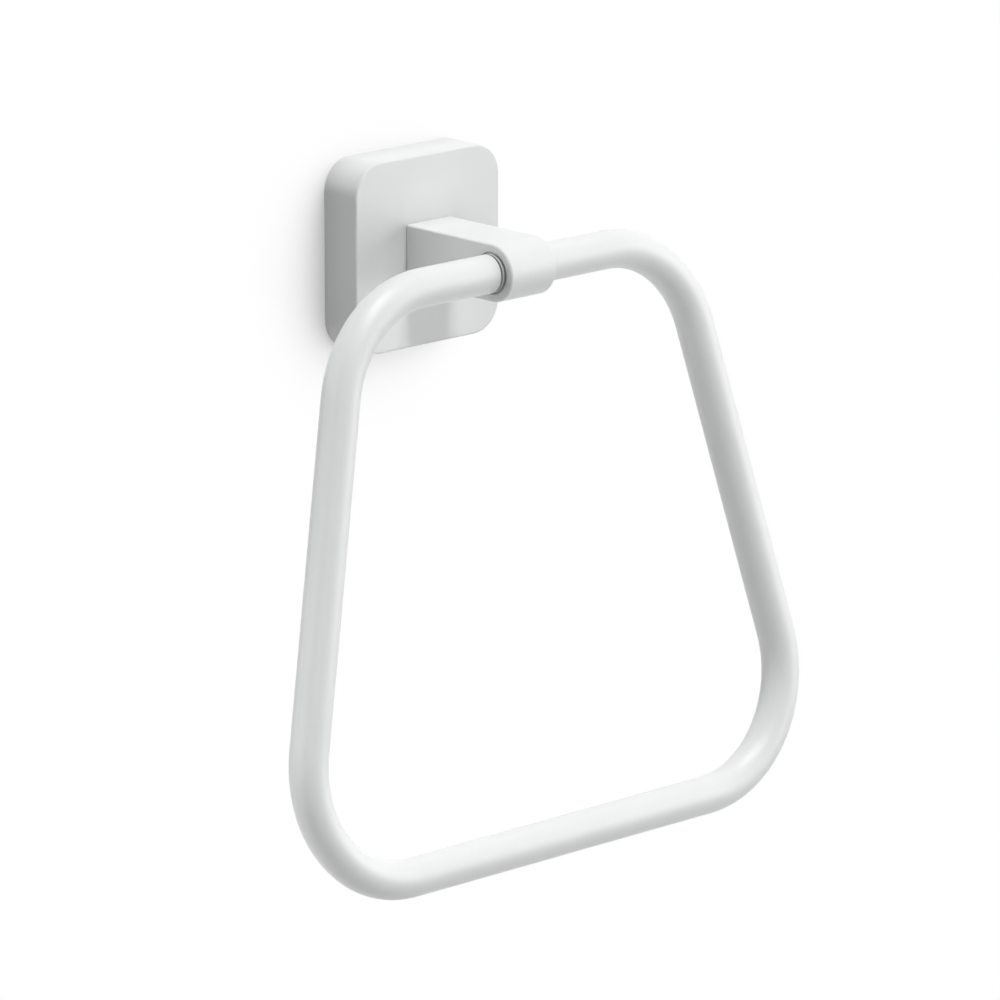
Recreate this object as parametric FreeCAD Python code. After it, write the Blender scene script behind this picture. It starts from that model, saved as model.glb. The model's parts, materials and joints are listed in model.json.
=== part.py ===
import FreeCAD, Part
import math
import os

# Towel ring for a wall, in millimetres.
# The wall is the plane y = 0 and the object stands out of it towards -Y, with +Z up and +X to the right.
# The origin is the middle of the wall bracket's two screw slots, on the wall.

os.makedirs("parts", exist_ok=True)
V = FreeCAD.Vector

# Cover plate
plate_side = 55.0
plate_depth = 13.0
plate_corner_radius = 9.5
plate_edge_round = 0.6
plate_side_wall = 2.0
plate_front_wall = 3.0

# Arm, a square bar whose nose is half round about the ring's axis
arm_width = 17.0
arm_height = 16.6
arm_edge_round = 0.6
arm_root_bevel = 0.3
axis_reach = 48.0
tenon_side = 10.0
tenon_depth = 2.5
tenon_corner_radius = 1.0
tenon_gap = 0.1
bore_relief_gap = 0.55
bore_relief_depth = 0.8

# Ring, a round bar bent to a trapezoid with equal corners, its two ends turned down to journals
bar_diameter = 11.0
journal_diameter = 9.0
journal_proud = 1.5
ring_top_width = 124.0
ring_bottom_width = 202.0
ring_height = 162.0
bend_radius = 34.0
hang_angle = 7.0
end_gap = 0.2
groove_width = 2.6
groove_depth = 0.7

# Joiner pin, in holes drilled into the ring's two ends
joiner_diameter = 5.0
joiner_length = 20.0
joiner_gap = 0.05
joiner_spare = 1.0
joiner_bevel = 0.6

# Sleeves in the arm's bore, each with a flange between the arm's face and the ring's shoulder
sleeve_wall = 0.45
sleeve_proud = 0.9
sleeve_inset = 1.9
sleeve_flange_thickness = 0.55
sleeve_flange_rise = 0.05
sleeve_edge_bevel = 0.08
running_gap = 0.08
seat_gap = 0.02

# Wall bracket, a folded sheet with a flared flange above and below
bracket_width = 40.0
bracket_height = 30.0
bracket_sheet = 2.0
bracket_flange = 7.0
bracket_flare = 20.0
bracket_bend = 0.6
bracket_corner_round = 2.0
slot_spacing = 26.0
slot_width = 5.0
slot_length = 8.0

# Hook lugs inside the cover's upper wall, which drop behind the bracket's upper flange
lug_spacing = 22.0
lug_width = 6.0
lug_back = 1.0
lug_thickness = 3.0
lug_gap = 0.1

# Arm screw and its washer
arm_screw_diameter = 6.0
arm_screw_grip = 12.0
arm_hole_spare = 4.0
arm_screw_head_diameter = 10.5
arm_screw_head_height = 3.3
arm_screw_head_bevel = 0.5
arm_screw_key = 4.0
arm_screw_key_depth = 2.0
washer_diameter = 16.0
washer_thickness = 1.2
washer_gap = 0.2

# Locking screw in the cover's lower wall
locking_screw_diameter = 4.0
locking_screw_recess = 0.4
locking_screw_key = 2.0
locking_screw_key_depth = 2.0
locking_screw_place = 4.6
locking_screw_tip_gap = 0.05
locking_pad_diameter = 8.0
locking_pad_height = 4.0

# Keeper screw under the nose
keeper_diameter = 3.0
keeper_recess = 0.2
keeper_dog_diameter = 2.0
keeper_dog_gap = 0.3
keeper_key = 1.5
keeper_key_depth = 0.9
thread_gap = 0.05

# Places worked out from the sizes above
plate_front = -plate_depth
plate_floor = -(plate_depth - plate_front_wall)
cavity_side = plate_side - 2 * plate_side_wall
pivot = V(0, -axis_reach, 0)
bar_radius = bar_diameter / 2
journal_radius = journal_diameter / 2
running_radius = journal_radius + running_gap
sleeve_radius = running_radius + sleeve_wall
bore_radius = sleeve_radius + seat_gap
arm_half_width = arm_width / 2
arm_half_height = arm_height / 2
flare = math.radians(bracket_flare)


def save(node, shape):
    shape.exportStep("parts/" + node + ".step")
    print(node, "solids", len(shape.Solids), "volume", round(shape.Volume, 1))


def along_x(radius, x_low, x_high, centre):
    return Part.makeCylinder(radius, x_high - x_low, V(x_low, centre.y, centre.z), V(1, 0, 0))


def along_y(radius, y_low, y_high, x=0.0, z=0.0):
    return Part.makeCylinder(radius, y_high - y_low, V(x, y_low, z), V(0, 1, 0))


def along_z(radius, z_low, z_high, y):
    return Part.makeCylinder(radius, z_high - z_low, V(0, y, z_low), V(0, 0, 1))


def hexagon_prism(key, base, direction, height):
    """A hexagonal key socket's volume, from base along direction, with key across its flats."""
    corner = key / math.sqrt(3)
    across = V(1, 0, 0)
    other = direction.cross(across)
    points = []
    for step in range(7):
        turn = math.radians(60 * step)
        points.append(base + across * corner * math.cos(turn) + other * corner * math.sin(turn))
    return Part.Face(Part.makePolygon(points)).extrude(direction * height)


def rounded_slab(side_x, side_z, radius, y_low, y_high):
    """A rectangle in XZ with round corners about the Y axis, from y_low to y_high."""
    x = side_x / 2
    z = side_z / 2
    inset = radius * (1 - math.sqrt(0.5))
    edges = []
    for sx, sz in ((1, 1), (-1, 1), (-1, -1), (1, -1)):
        first = V(sx * x, y_low, sz * (z - radius))
        middle = V(sx * (x - inset), y_low, sz * (z - inset))
        last = V(sx * (x - radius), y_low, sz * z)
        edges.append(Part.Arc(first, middle, last).toShape())
    for s in (1, -1):
        edges.append(Part.makeLine(V(radius - x, y_low, s * z), V(x - radius, y_low, s * z)))
        edges.append(Part.makeLine(V(s * x, y_low, radius - z), V(s * x, y_low, z - radius)))
    outline = Part.Wire(Part.__sortEdges__(edges))
    return Part.Face(outline).extrude(V(0, y_high - y_low, 0))


def edges_where(shape, test):
    """The edges whose ends and middle all pass the test."""
    found = []
    for edge in shape.Edges:
        middle = edge.valueAt((edge.FirstParameter + edge.LastParameter) / 2)
        points = [vertex.Point for vertex in edge.Vertexes] + [middle]
        if all(test(point) for point in points):
            found.append(edge)
    return found


def near(a, b):
    return abs(a - b) < 1e-6


def flange_face(distance):
    """Height of the bracket's flared flange above the middle, on its outer face, this far from the wall."""
    return bracket_height / 2 + distance * math.tan(flare)


def make_cover_plate():
    """Cast cover: square shell open towards the wall, with hook lugs, a screw pad and the arm's seat."""
    outer = rounded_slab(plate_side, plate_side, plate_corner_radius, plate_front, 0)
    rim = edges_where(outer, lambda p: near(p.y, plate_front))
    outer = outer.makeFillet(plate_edge_round, rim)
    inner_radius = plate_corner_radius - plate_side_wall
    cavity = rounded_slab(cavity_side, cavity_side, inner_radius, plate_floor, 0)
    shell = outer.cut(cavity)

    lug_front = lug_back + lug_thickness
    rise = lug_gap / math.cos(flare)
    roof = (cavity_side + plate_side_wall) / 2
    profile = [
        V(0, -lug_back, roof),
        V(0, -lug_front, roof),
        V(0, -lug_front, flange_face(lug_front) + rise),
        V(0, -lug_back, flange_face(lug_back) + rise),
    ]
    profile.append(profile[0])
    for side in (-1, 1):
        lug = Part.Face(Part.makePolygon(profile)).extrude(V(lug_width, 0, 0))
        lug.translate(V(side * lug_spacing / 2 - lug_width / 2, 0, 0))
        shell = shell.fuse(lug)

    pad_floor = -(cavity_side + plate_side_wall) / 2
    pad_top = locking_pad_height - cavity_side / 2
    pad = along_z(locking_pad_diameter / 2, pad_floor, pad_top, -locking_screw_place)
    shell = shell.fuse(pad)

    seat_side = tenon_side + 2 * tenon_gap
    seat = rounded_slab(seat_side, seat_side, tenon_corner_radius + tenon_gap, plate_front, plate_floor)
    hole_radius = locking_screw_diameter / 2 + thread_gap
    hole = along_z(hole_radius, -plate_side / 2, pad_top, -locking_screw_place)
    return shell.cut(seat).cut(hole).removeSplitter()


def make_arm():
    """Square bar with a half-round nose, a tenon for the cover's seat, a cross bore and two screw holes."""
    low = V(-arm_half_width, plate_front, -arm_half_height)
    top = V(-arm_half_width, plate_front, arm_half_height)
    nose_low = V(-arm_half_width, pivot.y, -arm_half_height)
    nose_tip = V(-arm_half_width, pivot.y - arm_half_height, 0)
    nose_top = V(-arm_half_width, pivot.y, arm_half_height)
    outline = Part.Wire([
        Part.makeLine(low, top),
        Part.makeLine(top, nose_top),
        Part.Arc(nose_top, nose_tip, nose_low).toShape(),
        Part.makeLine(nose_low, low),
    ])
    bar = Part.Face(outline).extrude(V(arm_width, 0, 0))
    sides = edges_where(bar, lambda p: near(abs(p.x), arm_half_width))
    long_edges = [edge for edge in sides if not all(near(v.Point.y, plate_front) for v in edge.Vertexes)]
    bar = bar.makeFillet(arm_edge_round, long_edges)
    root = edges_where(bar, lambda p: near(p.y, plate_front))
    bar = bar.makeChamfer(arm_root_bevel, root)

    tenon = rounded_slab(tenon_side, tenon_side, tenon_corner_radius, plate_front, plate_front + tenon_depth)
    bar = bar.fuse(tenon)

    hole_end = plate_front - arm_screw_grip - arm_hole_spare
    screw_hole = along_y(arm_screw_diameter / 2 + thread_gap, hole_end, plate_front + tenon_depth)
    bore = along_x(bore_radius, -arm_half_width, arm_half_width, pivot)
    keeper_hole = along_z(keeper_diameter / 2 + thread_gap, -arm_half_height, 0, pivot.y)
    bar = bar.cut(screw_hole).cut(bore).cut(keeper_hole)

    relief_end = arm_half_width - bore_relief_depth
    for low_x, high_x in ((-arm_half_width, -relief_end), (relief_end, arm_half_width)):
        bar = bar.cut(along_x(bar_radius + bore_relief_gap, low_x, high_x, pivot))
    return bar.removeSplitter()


def turned(profile, centre):
    """A turned piece about the X axis through centre, from (x, radius) points of its half section."""
    points = [V(x, centre.y, centre.z + radius) for x, radius in profile]
    points.append(points[0])
    return Part.Face(Part.makePolygon(points)).revolve(centre, V(1, 0, 0), 360)


def make_sleeve(side):
    """Thin bush that a journal of the ring runs in, with a narrow flange outside the arm."""
    end = arm_half_width + sleeve_proud
    flange_radius = bar_radius + sleeve_flange_rise
    flange_back = end - sleeve_flange_thickness
    profile = [
        (sleeve_inset, running_radius),
        (end, running_radius),
        (end, flange_radius - sleeve_edge_bevel),
        (end - sleeve_edge_bevel, flange_radius),
        (flange_back, flange_radius),
        (flange_back, sleeve_radius),
        (sleeve_inset, sleeve_radius),
    ]
    return turned([(side * x, radius) for x, radius in profile], pivot)


def straight(start, end):
    """A straight run of the ring's bar."""
    return Part.makeCylinder(bar_radius, start.distanceToPoint(end), start, end - start)


def bent(start, heading, centre, turn):
    """A bend of the ring's bar: its round section swung about the bend's centre, from start."""
    section = Part.Face(Part.Wire(Part.makeCircle(bar_radius, start, heading)))
    return section.revolve(centre, V(0, 1, 0), math.degrees(turn))


def ring_bar():
    """The open loop of runs and tangent bends, before it is swung out. Its ends meet in the arm's bore."""
    end = V(end_gap / 2, -axis_reach, 0)
    top_corner = V(ring_top_width / 2, -axis_reach, 0)
    low_corner = V(ring_bottom_width / 2, -axis_reach, -ring_height)
    side = (low_corner - top_corner).normalize()
    top_turn = math.acos(side.x)
    low_turn = math.pi - top_turn
    top_tangent = bend_radius * math.tan(top_turn / 2)
    low_tangent = bend_radius * math.tan(low_turn / 2)

    before_top = top_corner - V(top_tangent, 0, 0)
    after_top = top_corner + side * top_tangent
    before_low = low_corner - side * low_tangent
    after_low = low_corner - V(low_tangent, 0, 0)
    right = [
        straight(end, before_top),
        bent(before_top, V(1, 0, 0), before_top - V(0, 0, bend_radius), top_turn),
        straight(after_top, before_low),
        bent(before_low, side, after_low + V(0, 0, bend_radius), low_turn),
    ]
    left = [piece.mirror(V(0, 0, 0), V(1, 0, 0)) for piece in right]
    bottom = straight(after_low, V(-after_low.x, after_low.y, after_low.z))
    return bottom.fuse(right + left).removeSplitter()


def swung_out(shape):
    """Turns a piece of the ring about its axis, so that its bottom stands away from the wall."""
    turned_shape = shape.copy()
    turned_shape.rotate(pivot, V(1, 0, 0), -hang_angle)
    return turned_shape


def turned_down(bar, radius, half_length):
    """The bar cut back to this radius over a length about the middle of the bore."""
    outside = along_x(bar_diameter, -half_length, half_length, pivot)
    return bar.cut(outside.cut(along_x(radius, -half_length, half_length, pivot)))


def make_towel_ring():
    """The bar with a journal and a joiner's hole at each end, and a groove for the keeper screw."""
    ring = turned_down(ring_bar(), journal_radius, arm_half_width + journal_proud)
    ring = turned_down(ring, journal_radius - groove_depth, groove_width / 2)
    reach = joiner_length / 2 + joiner_spare
    hole = along_x(joiner_diameter / 2 + joiner_gap, -reach, reach, pivot)
    return swung_out(ring.cut(hole))


def make_ring_joiner():
    half = joiner_length / 2
    radius = joiner_diameter / 2
    profile = [
        (-half, 0),
        (-half, radius - joiner_bevel),
        (joiner_bevel - half, radius),
        (half - joiner_bevel, radius),
        (half, radius - joiner_bevel),
        (half, 0),
    ]
    return swung_out(turned(profile, pivot))


def make_wall_bracket():
    """Folded sheet on the wall, with flanges that flare outwards and two screw slots."""
    half = bracket_height / 2
    out = V(0, -math.cos(flare), math.sin(flare))
    normal = V(0, math.sin(flare), math.cos(flare))
    tip_outer = V(0, 0, half) + out * bracket_flange
    tip_inner = tip_outer - normal * bracket_sheet
    back = (tip_inner.y + bracket_sheet) / out.y
    root_inner = tip_inner - out * back
    upper = [V(0, 0, half), tip_outer, tip_inner, root_inner]
    lower = [V(0, p.y, -p.z) for p in reversed(upper)]
    points = upper + lower
    points.append(points[0])
    sheet = Part.Face(Part.makePolygon(points)).extrude(V(bracket_width, 0, 0))
    sheet.translate(V(-bracket_width / 2, 0, 0))

    inside = edges_where(sheet, lambda p: near(p.y, root_inner.y) and near(abs(p.z), root_inner.z))
    sheet = sheet.makeFillet(bracket_bend, inside)
    outside = edges_where(sheet, lambda p: near(p.y, 0) and near(abs(p.z), half))
    sheet = sheet.makeFillet(bracket_bend + bracket_sheet, outside)

    tips = []
    for edge in sheet.Edges:
        ends = [vertex.Point for vertex in edge.Vertexes]
        short = len(ends) == 2 and near(ends[0].distanceToPoint(ends[1]), bracket_sheet)
        if short and all(near(abs(p.x), bracket_width / 2) and abs(p.z) > half for p in ends):
            tips.append(edge)
    sheet = sheet.makeFillet(bracket_corner_round, tips)

    for side in (-1, 1):
        slot = rounded_slot(side * slot_spacing / 2)
        sheet = sheet.cut(slot)
    return sheet


def rounded_slot(centre_x):
    """A slot's volume through the sheet, its ends half round, its length along X."""
    radius = slot_width / 2
    run = slot_length / 2 - radius
    bar = Part.makeBox(2 * run, bracket_sheet, slot_width, V(centre_x - run, -bracket_sheet, -radius))
    for end in (-1, 1):
        bar = bar.fuse(along_y(radius, -bracket_sheet, 0, centre_x + end * run))
    return bar.removeSplitter()


def make_arm_washer():
    outer = along_y(washer_diameter / 2, plate_floor, plate_floor + washer_thickness)
    hole = along_y(arm_screw_diameter / 2 + washer_gap, plate_floor, plate_floor + washer_thickness)
    return outer.cut(hole)


def make_arm_screw():
    head_low = plate_floor + washer_thickness
    head_high = head_low + arm_screw_head_height
    head = along_y(arm_screw_head_diameter / 2, head_low, head_high)
    crown = edges_where(head, lambda p: near(p.y, head_high))
    head = head.makeChamfer(arm_screw_head_bevel, crown)
    shank = along_y(arm_screw_diameter / 2, plate_front - arm_screw_grip, head_low)
    socket_base = V(0, head_high - arm_screw_key_depth, 0)
    socket = hexagon_prism(arm_screw_key, socket_base, V(0, 1, 0), arm_screw_key_depth)
    return head.fuse(shank).cut(socket).removeSplitter()


def make_locking_screw():
    """Headless screw with a cone point that bears on the bracket's lower flange."""
    radius = locking_screw_diameter / 2
    y = -locking_screw_place
    bottom = locking_screw_recess - plate_side / 2
    tip = -flange_face(locking_screw_place) - locking_screw_tip_gap
    shoulder = tip - radius
    body = along_z(radius, bottom, shoulder, y)
    point = Part.makeCone(radius, 0, radius, V(0, y, shoulder), V(0, 0, 1))
    socket = hexagon_prism(locking_screw_key, V(0, y, bottom), V(0, 0, 1), locking_screw_key_depth)
    return body.fuse(point).cut(socket).removeSplitter()


def make_keeper_screw():
    """Headless screw whose dog point reaches into the ring's groove."""
    bottom = keeper_recess - arm_half_height
    shoulder = -bore_radius
    dog_tip = -(journal_radius - groove_depth + keeper_dog_gap)
    body = along_z(keeper_diameter / 2, bottom, shoulder, pivot.y)
    dog = along_z(keeper_dog_diameter / 2, shoulder, dog_tip, pivot.y)
    socket = hexagon_prism(keeper_key, V(0, pivot.y, bottom), V(0, 0, 1), keeper_key_depth)
    return body.fuse(dog).cut(socket).removeSplitter()


save("wall_bracket", make_wall_bracket())
save("cover_plate", make_cover_plate())
save("locking_screw", make_locking_screw())
save("arm", make_arm())
save("arm_screw", make_arm_screw())
save("arm_washer", make_arm_washer())
save("sleeve_left", make_sleeve(-1))
save("sleeve_right", make_sleeve(1))
save("towel_ring", make_towel_ring())
save("ring_joiner", make_ring_joiner())
save("keeper_screw", make_keeper_screw())
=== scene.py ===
# %% [markdown]
# # A white towel ring on a wall
#
# The object is a square cover plate on a wall, a square arm with a round nose, and a ring of round bar that
# swings in the arm. Nearly all that shows of it is coated in the same satin white, so the picture lives on
# soft light, on small shadows where pieces meet, and on the grain of the coating.
#
# The measured model comes first. It holds each piece at its real size in metres, with +Z up, the wall at
# y = 0 and the room towards -Y. What follows only dresses it.

import json
import math

import bmesh
import bpy
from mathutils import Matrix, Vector


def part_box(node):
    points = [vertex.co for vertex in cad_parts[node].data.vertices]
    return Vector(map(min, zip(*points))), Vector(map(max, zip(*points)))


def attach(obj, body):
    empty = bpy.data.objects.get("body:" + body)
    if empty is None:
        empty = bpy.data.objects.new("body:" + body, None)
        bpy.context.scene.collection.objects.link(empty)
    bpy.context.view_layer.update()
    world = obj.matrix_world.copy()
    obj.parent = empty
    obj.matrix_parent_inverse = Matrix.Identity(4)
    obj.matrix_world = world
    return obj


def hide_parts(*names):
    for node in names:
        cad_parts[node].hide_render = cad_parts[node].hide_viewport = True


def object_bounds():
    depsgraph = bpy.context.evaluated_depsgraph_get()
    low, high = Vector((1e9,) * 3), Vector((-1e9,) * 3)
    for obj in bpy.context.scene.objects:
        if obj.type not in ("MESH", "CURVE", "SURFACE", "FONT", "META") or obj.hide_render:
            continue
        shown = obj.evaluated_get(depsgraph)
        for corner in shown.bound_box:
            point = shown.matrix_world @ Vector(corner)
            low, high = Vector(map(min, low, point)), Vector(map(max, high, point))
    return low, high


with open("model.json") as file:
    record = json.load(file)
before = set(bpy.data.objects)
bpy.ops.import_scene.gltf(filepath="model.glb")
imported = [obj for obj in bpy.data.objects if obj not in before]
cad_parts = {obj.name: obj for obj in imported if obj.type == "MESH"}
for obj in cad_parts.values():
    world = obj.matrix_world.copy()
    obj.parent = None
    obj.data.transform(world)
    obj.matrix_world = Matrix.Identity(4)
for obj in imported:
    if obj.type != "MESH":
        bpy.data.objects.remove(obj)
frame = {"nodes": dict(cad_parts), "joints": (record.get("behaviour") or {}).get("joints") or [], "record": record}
nodes = frame["nodes"]
model_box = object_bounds()
print("pieces:", ", ".join(sorted(nodes)))

# %% [markdown]
# ## The camera
#
# The photograph was taken from the left of the object and a little above it, with a long lens, so that
# edges that are parallel stay nearly parallel. A camera could be placed by eye. Here it was worked out from
# the edges of the plate, the arm and the ring, and is written as an aim, two angles and a distance, which
# can be read and changed one at a time.

# %% Place the camera
MILLIMETRE = 0.001

aim = Vector((-5.3, -48.0, -65.7)) * MILLIMETRE
view_azimuth = math.radians(-43.45)
view_elevation = math.radians(14.44)
view_distance = 1.997
sensor_mm = 36.0
lens_mm = 256.15

toward_camera = Vector((
    math.sin(view_azimuth) * math.cos(view_elevation),
    -math.cos(view_azimuth) * math.cos(view_elevation),
    math.sin(view_elevation),
))
camera_data = bpy.data.cameras.new("camera")
camera_data.sensor_width = sensor_mm
camera_data.lens = lens_mm
camera = bpy.data.objects.new("camera", camera_data)
camera.location = aim + toward_camera * view_distance
camera.rotation_euler = toward_camera.to_track_quat("Z", "Y").to_euler()
bpy.context.scene.collection.objects.link(camera)
bpy.context.scene.camera = camera
print("camera at", [round(c, 4) for c in camera.location])

# %% [markdown]
# ## Shader sums in plain Python
#
# A finish is a graph of nodes. It could be wired by hand, one link a line, but a sum such as
# `0.4 + 0.1 * grain` reads better than three nodes. So one small class wraps a socket, Python's operators
# on it add Math nodes, and a single method makes every other kind of node.

# %% A socket that can be added and multiplied
class Wire:
    """An output socket of a node tree, or with no socket, the tree itself."""

    def __init__(self, tree, socket=None):
        self.tree = tree
        self.socket = socket

    def node(self, kind, settings=None, inputs=None, output=0):
        """Adds a node: its settings first, then the values or links of its sockets."""
        made = self.tree.nodes.new(kind)
        for name, value in (settings or {}).items():
            setattr(made, name, value)
        for name, value in (inputs or {}).items():
            if isinstance(value, Wire):
                self.tree.links.new(value.socket, made.inputs[name])
            else:
                made.inputs[name].default_value = value
        return Wire(self.tree, made.outputs[output]) if made.outputs else None

    def maths(self, operation, first, second):
        """Adds a Math node on two numbers or wires."""
        return self.node("ShaderNodeMath", {"operation": operation}, {0: first, 1: second})

    def __add__(self, other):
        return self.maths("ADD", self, other)

    def __radd__(self, other):
        return self.maths("ADD", other, self)

    def __sub__(self, other):
        return self.maths("SUBTRACT", self, other)

    def __rsub__(self, other):
        return self.maths("SUBTRACT", other, self)

    def __mul__(self, other):
        return self.maths("MULTIPLY", self, other)

    def __rmul__(self, other):
        return self.maths("MULTIPLY", other, self)


# %% Helpers that every finish uses
# A Mix node has sockets for each kind of value, and these are the numbers of the ones for colours.
MIX_FACTOR = 0
MIX_COLOUR_A = 6
MIX_COLOUR_B = 7
MIX_COLOUR_RESULT = 2


def colour_between(mask, dark, light):
    """A colour that goes from dark to light as the mask goes from 0 to 1."""
    colours = {MIX_FACTOR: mask, MIX_COLOUR_A: dark, MIX_COLOUR_B: light}
    return mask.node("ShaderNodeMix", {"data_type": "RGBA"}, colours, MIX_COLOUR_RESULT)


def feed(shader, name, wire):
    """Links a wire to a named socket of the surface shader."""
    wire.tree.links.new(wire.socket, shader.inputs[name])


def new_finish(name):
    """A material, its surface shader, and the place on the piece in metres."""
    material = bpy.data.materials.new(name)
    material.use_nodes = True
    shader = material.node_tree.nodes["Principled BSDF"]
    place = Wire(material.node_tree).node("ShaderNodeTexCoord", output="Object")
    return material, shader, place


def noise(place, size, detail=2.0, stretch=None):
    """Soft noise from 0 to 1 whose spots are about this many metres across, or stretched along an axis."""
    if stretch is not None:
        place = place.node("ShaderNodeVectorMath", {"operation": "MULTIPLY"}, {0: place, 1: stretch})
    return place.node("ShaderNodeTexNoise", None, {"Vector": place, "Scale": 1 / size, "Detail": detail})


def relief(shader, height, depth):
    """Raises the surface by up to depth metres where the height is 1."""
    feed(shader, "Normal", height.node("ShaderNodeBump", None, {"Height": height, "Distance": depth}))


# %% [markdown]
# ## Satin white powder coat
#
# The plate, the arm and the ring are coated with white powder that is baked until it flows. The skin has
# a soft gloss and a faint orange-peel: low swells about a millimetre across, only microns high. A flat
# white would do from far off. Here noise at two sizes drives the relief, a wider noise lets the gloss vary
# a little, and the colour drifts by a part or two in a hundred, as a baked coat does.
#
# In a tight corner, as where the arm meets the plate, white throws so much light to white that the corner all but
# fades. So shade is painted into the colour there. Where other surfaces stand within a centimetre, the colour is
# drawn down to a grey, as painted shade in corners and between parts.

# %% Make the white coat
coat_light = (0.885, 0.893, 0.892, 1.0)
coat_shade = (0.862, 0.872, 0.872, 1.0)
coat_drift_size = 18 * MILLIMETRE
coat_painted_shade_colour = (0.755, 0.765, 0.765, 1.0)
coat_painted_shade_reach = 10 * MILLIMETRE
coat_painted_shade_samples = 8
coat_roughness = 0.36
coat_roughness_drift = 0.06
coat_roughness_size = 6 * MILLIMETRE
peel_size = 1.3 * MILLIMETRE
peel_height = 0.006 * MILLIMETRE
fine_peel_size = peel_size / 3
fine_peel_share = 0.35

white_coat, shader, place = new_finish("white_powder_coat")
drift = noise(place, coat_drift_size)
coat = colour_between(drift, coat_shade, coat_light)
nearby = {"Distance": coat_painted_shade_reach}
opening = place.node("ShaderNodeAmbientOcclusion", {"samples": coat_painted_shade_samples}, nearby, "AO")
# The opening is 1 in the open and a half in a square corner, and a narrower gap counts as a square corner.
free_of_painted_shade = opening.maths("MAXIMUM", 2.0 * opening - 1.0, 0.0)
# Painted shade: the colour darkens towards a grey as nearby surfaces close in.
feed(shader, "Base Color", colour_between(free_of_painted_shade, coat_painted_shade_colour, coat))
feed(shader, "Roughness", coat_roughness + coat_roughness_drift * noise(place, coat_roughness_size))
peel = noise(place, peel_size) + fine_peel_share * noise(place, fine_peel_size)
relief(shader, peel, peel_height)
print(white_coat.name, "has", len(white_coat.node_tree.nodes), "nodes")

# %% [markdown]
# ## Metal and plastic that mostly hide
#
# Behind the cover are a folded bracket of stainless sheet and a few screws, and the ring runs in two thin
# sleeves of pale grey plastic, of which only the flange shows. Sheet has a rolled grain along one
# direction, so its noise is stretched along X. Screws are turned, so theirs is fine and even.

# %% Make the steel
metal_detail = 4.0
fine_relief = 0.004 * MILLIMETRE


def steel(name, dark, light, roughness, roughness_drift, grain_size, stretch):
    """A bare metal whose grain shows in its colour, its gloss and a very shallow relief."""
    material, shader, place = new_finish(name)
    grain = noise(place, grain_size, metal_detail, stretch)
    feed(shader, "Base Color", colour_between(grain, dark, light))
    feed(shader, "Roughness", roughness + roughness_drift * grain)
    shader.inputs["Metallic"].default_value = 1.0
    relief(shader, grain, fine_relief)
    print(name, "has", len(material.node_tree.nodes), "nodes")
    return material


sheet_steel = steel(
    "rolled_sheet_steel",
    dark=(0.55, 0.56, 0.57, 1),
    light=(0.70, 0.71, 0.72, 1),
    roughness=0.26,
    roughness_drift=0.18,
    grain_size=0.5 * MILLIMETRE,
    stretch=(0.06, 1, 1),
)
turned_steel = steel(
    "turned_screw_steel",
    dark=(0.50, 0.51, 0.52, 1),
    light=(0.66, 0.67, 0.68, 1),
    roughness=0.22,
    roughness_drift=0.18,
    grain_size=0.25 * MILLIMETRE,
    stretch=(1, 1, 1),
)

# %% Make the grey plastic
sleeve_light = (0.58, 0.59, 0.59, 1)
sleeve_shade = (0.52, 0.53, 0.53, 1)
sleeve_mottle_size = 2 * MILLIMETRE
sleeve_roughness = 0.42
sleeve_roughness_drift = 0.08
sleeve_grain_size = 0.4 * MILLIMETRE

sleeve_grey, shader, place = new_finish("sleeve_plastic")
mottle = noise(place, sleeve_mottle_size)
feed(shader, "Base Color", colour_between(mottle, sleeve_shade, sleeve_light))
feed(shader, "Roughness", sleeve_roughness + sleeve_roughness_drift * mottle)
relief(shader, noise(place, sleeve_grain_size), fine_relief)
print(sleeve_grey.name, "has", len(sleeve_grey.node_tree.nodes), "nodes")

# %% [markdown]
# ## Give each piece its finish
#
# Each measured piece names the kind of finish it takes in its record. One table from those names to the
# materials above dresses them all, and a new piece would need no new line.

# %% Dress the pieces
finish_of_slot = {
    "white_paint": white_coat,
    "bracket_steel": sheet_steel,
    "screw_steel": turned_steel,
    "sleeve_plastic": sleeve_grey,
}
for subpart in frame["record"]["subparts"]:
    piece = nodes[subpart["node"]]
    piece.data.materials.clear()
    piece.data.materials.append(finish_of_slot[subpart["material_slot"]])
    for polygon in piece.data.polygons:
        polygon.material_index = 0
    print(subpart["node"], "takes", subpart["material_slot"])

# %% [markdown]
# ## Where the ring has no coat
#
# The coat would bind in the sleeves, so the turned-down ends of the ring are left as bare steel. Their colour is
# made far darker than steel is, as painted shade for the deep gap between the sleeve and the ring's shoulder. They
# are part of the same solid as the white bar. A second piece could stand for them, but a piece of the model may
# show two finishes: each of its faces names the slot it takes. Here the faces that lie close about the pivot,
# between the two shoulders, take the second slot. The tool that turned them left fine lines round them, so their
# grain is stretched across X.

# %% Leave the turned-down ends bare
journal_reach = 10.01 * MILLIMETRE
journal_limit = 4.6 * MILLIMETRE
pivot = Vector(frame["joints"][0]["pos_m"])

# The near-black colour of this steel is painted shade for the gap round the journals.
journal_steel_painted_dark = steel(
    "journal_steel_with_painted_shade",
    dark=(0.10, 0.10, 0.10, 1),
    light=(0.16, 0.16, 0.16, 1),
    roughness=0.40,
    roughness_drift=0.15,
    grain_size=0.2 * MILLIMETRE,
    stretch=(1, 0.1, 0.1),
)
ring_mesh = nodes["towel_ring"].data
ring_mesh.materials.append(journal_steel_painted_dark)


def on_journal(polygon):
    """Whether every corner of this face lies on a turned-down end."""
    corners = [ring_mesh.vertices[index].co - pivot for index in polygon.vertices]
    return all(abs(c.x) < journal_reach and math.hypot(c.y, c.z) < journal_limit for c in corners)


bare_faces = [polygon for polygon in ring_mesh.polygons if on_journal(polygon)]
for polygon in bare_faces:
    polygon.material_index = 1
print("bare faces on the ring:", len(bare_faces), "of", len(ring_mesh.polygons))

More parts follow.
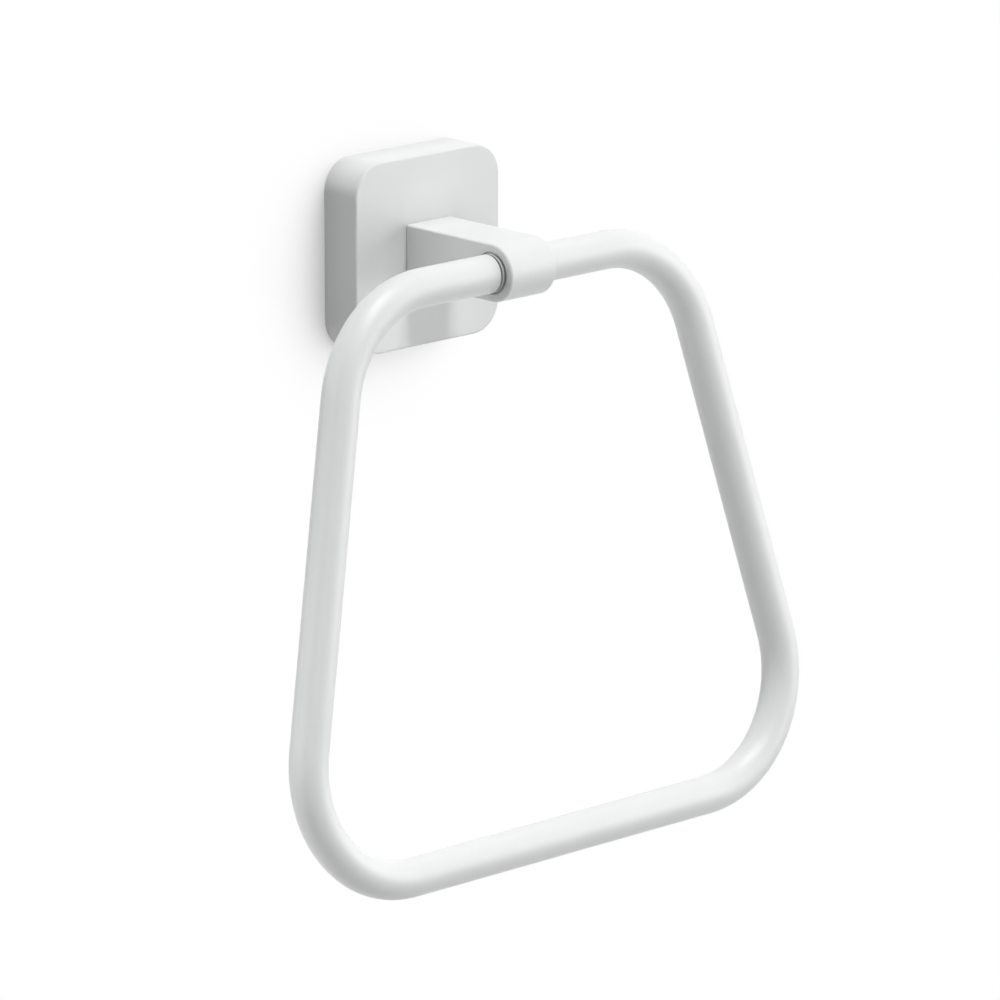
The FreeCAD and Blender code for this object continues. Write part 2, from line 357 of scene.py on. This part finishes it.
# %% [markdown]
# ## Screws with real threads
#
# The measured screws have plain shanks, because a thread is fine relief. A thread could be a profile turned
# by a screw modifier, but that leaves loose ends at both tips. Here each screw is one closed skin instead:
# rings of points along its axis, whose radius may change with the angle. In the key socket the radius
# follows a hexagon, and on the thread it follows a right-hand helix with the standard sixty degree flanks.

# %% Rows of points for a socket and a thread
ROWS_PER_TURN = 16
# The depth and the flats of a thread are shares of its pitch.
THREAD_DEPTH = 0.613
CREST_FLAT = 1 / 8
ROOT_FLAT = 1 / 4


def hexagon(key):
    """The radius at each angle of a hexagon with key across its flats."""
    side = math.tau / 6
    return lambda angle: key / 2 / math.cos(angle % side - side / 2)


def socket_rows(key, depth):
    """Rows of a key socket, from its floor out to the screw's end."""
    return [(depth, hexagon(key)), (0, hexagon(key))]


def helix(crest, pitch, height, cone):
    """The radius at each angle of a thread at this height, cut back to a cone near the screw's end."""
    def radius(angle):
        phase = (height / pitch - angle / math.tau) % 1
        flank = (abs(2 * phase - 1) - ROOT_FLAT) / (1 - ROOT_FLAT - CREST_FLAT)
        return min(cone, crest - THREAD_DEPTH * pitch * (1 - min(1, max(0, flank))))
    return radius


def thread_rows(crest, pitch, start, end, chamfer):
    """Rows of a thread whose two ends run out on cones."""
    count = round((end - start) / pitch * ROWS_PER_TURN)
    rows = []
    for step in range(count + 1):
        height = start + (end - start) * step / count
        cone = crest - max(0, chamfer - min(height - start, end - height))
        rows.append((height, helix(crest, pitch, height, cone)))
    return rows


# %% One closed skin for a screw
RING_POINTS = 48
SHARP_ANGLE = math.radians(28)


def skin_through(name, base, axis, rows):
    """A closed mesh through rows of (height along the axis, radius)."""
    across = Vector((1, 0, 0))
    other = axis.cross(across)
    skin = bmesh.new()
    rings = []
    for height, radius in rows:
        ring = []
        for step in range(RING_POINTS):
            angle = math.tau * step / RING_POINTS
            reach = radius(angle) if callable(radius) else radius
            spoke = across * math.cos(angle) + other * math.sin(angle)
            ring.append(skin.verts.new(base + axis * height + spoke * reach))
        rings.append(ring)
    for near, far in zip(rings, rings[1:]):
        for step in range(RING_POINTS):
            after = (step + 1) % RING_POINTS
            skin.faces.new((near[step], near[after], far[after], far[step]))
    skin.faces.new(reversed(rings[0]))
    skin.faces.new(rings[-1])
    mesh = bpy.data.meshes.new(name)
    skin.to_mesh(mesh)
    skin.free()
    mesh.shade_smooth()
    mesh.set_sharp_from_angle(angle=SHARP_ANGLE)
    return mesh


def screw(node, base, axis, rows):
    """Lets a threaded skin stand for a measured screw."""
    mesh = skin_through(node + "_threaded", base, axis, rows)
    mesh.materials.append(turned_steel)
    piece = bpy.data.objects.new(node + "_threaded", mesh)
    bpy.context.scene.collection.objects.link(piece)
    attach(piece, "root")
    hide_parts(node)
    print(piece.name, "has", len(mesh.polygons), "faces")


# %% Make the arm's cap screw
low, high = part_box("arm_screw")
length = high.y - low.y
head_radius = (high.x - low.x) / 2
head_height = 3.3 * MILLIMETRE
head_bevel = 0.5 * MILLIMETRE
shank_radius = 3.0 * MILLIMETRE
plain_length = 2.0 * MILLIMETRE
pitch = 1.0 * MILLIMETRE
chamfer = 0.6 * MILLIMETRE
key = 4.0 * MILLIMETRE
key_depth = 2.0 * MILLIMETRE

rows = socket_rows(key, key_depth)
rows += [(0, head_radius - head_bevel), (head_bevel, head_radius), (head_height, head_radius)]
rows += [(head_height, shank_radius)]
rows += thread_rows(shank_radius, pitch, head_height + plain_length, length, chamfer)
screw("arm_screw", Vector((0, high.y, 0)), Vector((0, -1, 0)), rows)

# %% Make the locking screw with its cone point
low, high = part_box("locking_screw")
length = high.z - low.z
shank_radius = (high.x - low.x) / 2
cone_length = shank_radius
point_radius = 0.02 * MILLIMETRE
pitch = 0.7 * MILLIMETRE
chamfer = 0.35 * MILLIMETRE
key = 2.0 * MILLIMETRE
key_depth = 2.0 * MILLIMETRE

rows = socket_rows(key, key_depth)
rows += thread_rows(shank_radius, pitch, 0, length - cone_length, chamfer)
rows += [(length, point_radius)]
screw("locking_screw", Vector((0, (low.y + high.y) / 2, low.z)), Vector((0, 0, 1)), rows)

# %% Make the keeper screw with its plain tip
low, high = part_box("keeper_screw")
length = high.z - low.z
shank_radius = (high.x - low.x) / 2
tip_radius = 1.0 * MILLIMETRE
tip_length = 0.95 * MILLIMETRE
pitch = 0.5 * MILLIMETRE
chamfer = 0.25 * MILLIMETRE
key = 1.5 * MILLIMETRE
key_depth = 0.9 * MILLIMETRE

rows = socket_rows(key, key_depth)
rows += thread_rows(shank_radius, pitch, 0, length - tip_length, chamfer)
rows += [(length - tip_length, tip_radius), (length, tip_radius)]
screw("keeper_screw", Vector((0, (low.y + high.y) / 2, low.z)), Vector((0, 0, 1)), rows)

# %% [markdown]
# ## The wall and the floor
#
# The object hangs on a white wall, and its only shadow there is the soft one to the left of the plate and
# below it. A lamp could cast that shadow, but then the ring would cast one too, and the wall would need
# more light than the object can take. So for the camera the wall shows its own white, dimmed by how much of
# the nearby space towards the light, up and to the right, is blocked. For light that bounces, it is a plain
# matt wall. Gloss looks through it to the white surroundings, and so mirrors white as the camera sees
# white. From behind and to the lamps it is clear, so that the object's back can be lit and looked at.

# %% Helpers for the stage
def stage_plane(name, centre, normal, side, material):
    """A large square facing along normal, which is not part of the object."""
    mesh = bpy.data.meshes.new(name)
    half = side / 2
    corners = [(-half, -half, 0), (half, -half, 0), (half, half, 0), (-half, half, 0)]
    mesh.from_pydata(corners, [], [(0, 1, 2, 3)])
    mesh.materials.append(material)
    plane = bpy.data.objects.new(name, mesh)
    plane.location = centre
    plane.rotation_euler = normal.to_track_quat("Z", "Y").to_euler()
    bpy.context.scene.collection.objects.link(plane)
    print("stage:", name)


def new_stage_tree(name):
    """An empty material for the stage, and its tree."""
    material = bpy.data.materials.new(name)
    material.use_nodes = True
    material.node_tree.nodes.clear()
    return material, Wire(material.node_tree)


def mix_shaders(factor, first, second):
    """The first shader where the factor is 0, and the second where it is 1."""
    return factor.node("ShaderNodeMixShader", None, {0: factor, 1: first, 2: second})


def matt_white(tree, bounce):
    """A matt surface that throws back this share of the light."""
    return tree.node("ShaderNodeBsdfDiffuse", None, {"Color": (bounce, bounce, bounce, 1)})


def glow(strength):
    """A surface that shows this much white of its own."""
    return strength.node("ShaderNodeEmission", None, {"Color": (1, 1, 1, 1), "Strength": strength})


# %% Paint the wall
wall_bounce = 0.60
shade_reach = 32 * MILLIMETRE
shade_samples = 32
shade_from = (0.66, -0.64, 0.40)
shade_start = 0.93
shade_spread = 1.2
shade_depth = 1.02
shade_fade = 1.85

wall_paint, tree = new_stage_tree("wall_paint")
camera_sees = tree.node("ShaderNodeLightPath", output="Is Camera Ray")
lamp_sees = tree.node("ShaderNodeLightPath", output="Is Shadow Ray")
gloss_sees = tree.node("ShaderNodeLightPath", output="Is Glossy Ray")
from_behind = tree.node("ShaderNodeNewGeometry", output="Backfacing")
tilt = tree.node("ShaderNodeCombineXYZ", None, dict(zip("XYZ", shade_from)))
nearby = {"Distance": shade_reach, "Normal": tilt}
opening = tree.node("ShaderNodeAmbientOcclusion", {"samples": shade_samples}, nearby, "AO")
closed = opening.maths("MAXIMUM", shade_spread * (shade_start - opening), 0.0)
white = 1.0 - shade_depth * closed.maths("POWER", closed, shade_fade)
matt = matt_white(tree, wall_bounce)
clear = tree.node("ShaderNodeBsdfTransparent")
front = mix_shaders(camera_sees, matt, glow(white))
passes = from_behind.maths("MAXIMUM", from_behind, lamp_sees)
surface = mix_shaders(passes.maths("MAXIMUM", passes, gloss_sees), front, clear)
tree.node("ShaderNodeOutputMaterial", None, {"Surface": surface})
print(wall_paint.name, "has", len(wall_paint.node_tree.nodes), "nodes")

# %% Paint the floor
floor_bounce = 0.64
floor_glow = 0.25

floor_paint, tree = new_stage_tree("floor_paint")
camera_sees = tree.node("ShaderNodeLightPath", output="Is Camera Ray")
from_behind = tree.node("ShaderNodeNewGeometry", output="Backfacing")
matt = matt_white(tree, floor_bounce)
lit = tree.node("ShaderNodeAddShader", None, {0: matt, 1: glow(floor_glow * camera_sees)})
surface = mix_shaders(from_behind, lit, tree.node("ShaderNodeBsdfTransparent"))
tree.node("ShaderNodeOutputMaterial", None, {"Surface": surface})
print(floor_paint.name, "has", len(floor_paint.node_tree.nodes), "nodes")

# %% Build the wall and the floor
wall_gap = 0.3 * MILLIMETRE
floor_drop = 0.42
stage_side = 5.0
stage_plane("wall", Vector((0, wall_gap, 0)), Vector((0, -1, 0)), stage_side, wall_paint)
stage_plane("floor", Vector((0, -stage_side / 2, -floor_drop)), Vector((0, 0, 1)), stage_side, floor_paint)

# %% [markdown]
# ## Soft light
#
# Two large lamps high above give the bright top faces, and one to the right keeps the faces on the left in
# shade. The high ones stand about four metres away, so that the ring's lower bar is as bright as its upper
# one. All three are larger than the object, so shadows only show where pieces nearly touch. The small cards
# act as the white boards of a photographer: one at the front left fills the shade, and the other three each
# lift one surface that the big lamps leave grey, and light no other piece. Those three stand inside the
# view, so they are hidden from the camera. One lamp behind the wall is there for views from the back. The
# surroundings are white to the camera and to anything glossy, and give no other light.

# %% Light the scene
def soft_lamp(name, centre, target, width, depth, watts):
    """An oblong area lamp that faces the target."""
    data = bpy.data.lights.new(name, "AREA")
    data.shape = "RECTANGLE"
    data.size = width
    data.size_y = depth
    data.energy = watts
    lamp = bpy.data.objects.new(name, data)
    lamp.location = centre
    lamp.rotation_euler = (Vector(centre) - target).to_track_quat("Z", "Y").to_euler()
    bpy.context.scene.collection.objects.link(lamp)
    return lamp


# Each lamp has its centre, width and depth in metres, and its power in watts.
lamp_table = {
    "overhead_strip": ((0.0, -1.69, 3.85), 0.9, 3.5, 118.0),
    "zenith": ((0.0, -0.57, 4.10), 1.75, 1.75, 26.0),
    "right": ((1.6, -1.2, 0.1), 1.4, 1.4, 17.4),
    "left_card": ((-0.35, -0.45, 0.05), 0.2, 0.2, 0.205),
    "ring_card_back": ((-0.16, 0.03, -0.09), 0.05, 0.20, 0.075),
    "ring_card_side": ((-0.22, -0.03, -0.12), 0.06, 0.20, 0.036),
    "arm_card": ((-0.030, -0.042, 0.012), 0.008, 0.008, 0.0014),
    "behind": ((0.0, 1.8, 0.2), 0.4, 0.4, 8.0),
}
middle = (model_box[0] + model_box[1]) / 2
past_left_limb = Vector((-0.17, -0.30, -0.09))
aimed_elsewhere = {"ring_card_back": past_left_limb}
lamps = {}
for name, (centre, width, depth, watts) in lamp_table.items():
    lamps[name] = soft_lamp(name, centre, aimed_elsewhere.get(name, middle), width, depth, watts)
print("lamps:", ", ".join(lamps))

# %% Keep the small lights to one surface each
lit_alone = {
    "behind": ("cover_plate", "wall_bracket", "arm_washer"),
    "ring_card_back": ("towel_ring",),
    "ring_card_side": ("towel_ring",),
    "arm_card": ("arm",),
}
for lamp_name, piece_names in lit_alone.items():
    receivers = bpy.data.collections.new("lit_by_" + lamp_name)
    for piece_name in piece_names:
        receivers.objects.link(nodes[piece_name])
    lamps[lamp_name].light_linking.receiver_collection = receivers
    print(lamp_name, "lights", ", ".join(piece_names))
for lamp_name in ("ring_card_back", "ring_card_side", "arm_card"):
    lamps[lamp_name].visible_camera = False

# %% Surround the scene with white
world = bpy.data.worlds.new("white_room")
world.use_nodes = True
world.node_tree.nodes.clear()
sky = Wire(world.node_tree)
camera_sees = sky.node("ShaderNodeLightPath", output="Is Camera Ray")
gloss_sees = sky.node("ShaderNodeLightPath", output="Is Glossy Ray")
strength = sky.maths("MAXIMUM", camera_sees, gloss_sees)
surroundings = sky.node("ShaderNodeBackground", None, {"Color": (1, 1, 1, 1), "Strength": strength})
sky.node("ShaderNodeOutputWorld", None, {"Surface": surroundings})
bpy.context.scene.world = world
bpy.context.scene.view_settings.view_transform = "Standard"
print("surroundings:", world.name)

# %% [markdown]
# ## The measured size
#
# The dressed model must stay inside the box of the measured one. The measured box is printed.

# %% Print the measured box
def plain(box):
    """The two corners of a box as plain lists of numbers."""
    return [[float(c) for c in corner] for corner in box]


print("measured box:", plain(model_box))
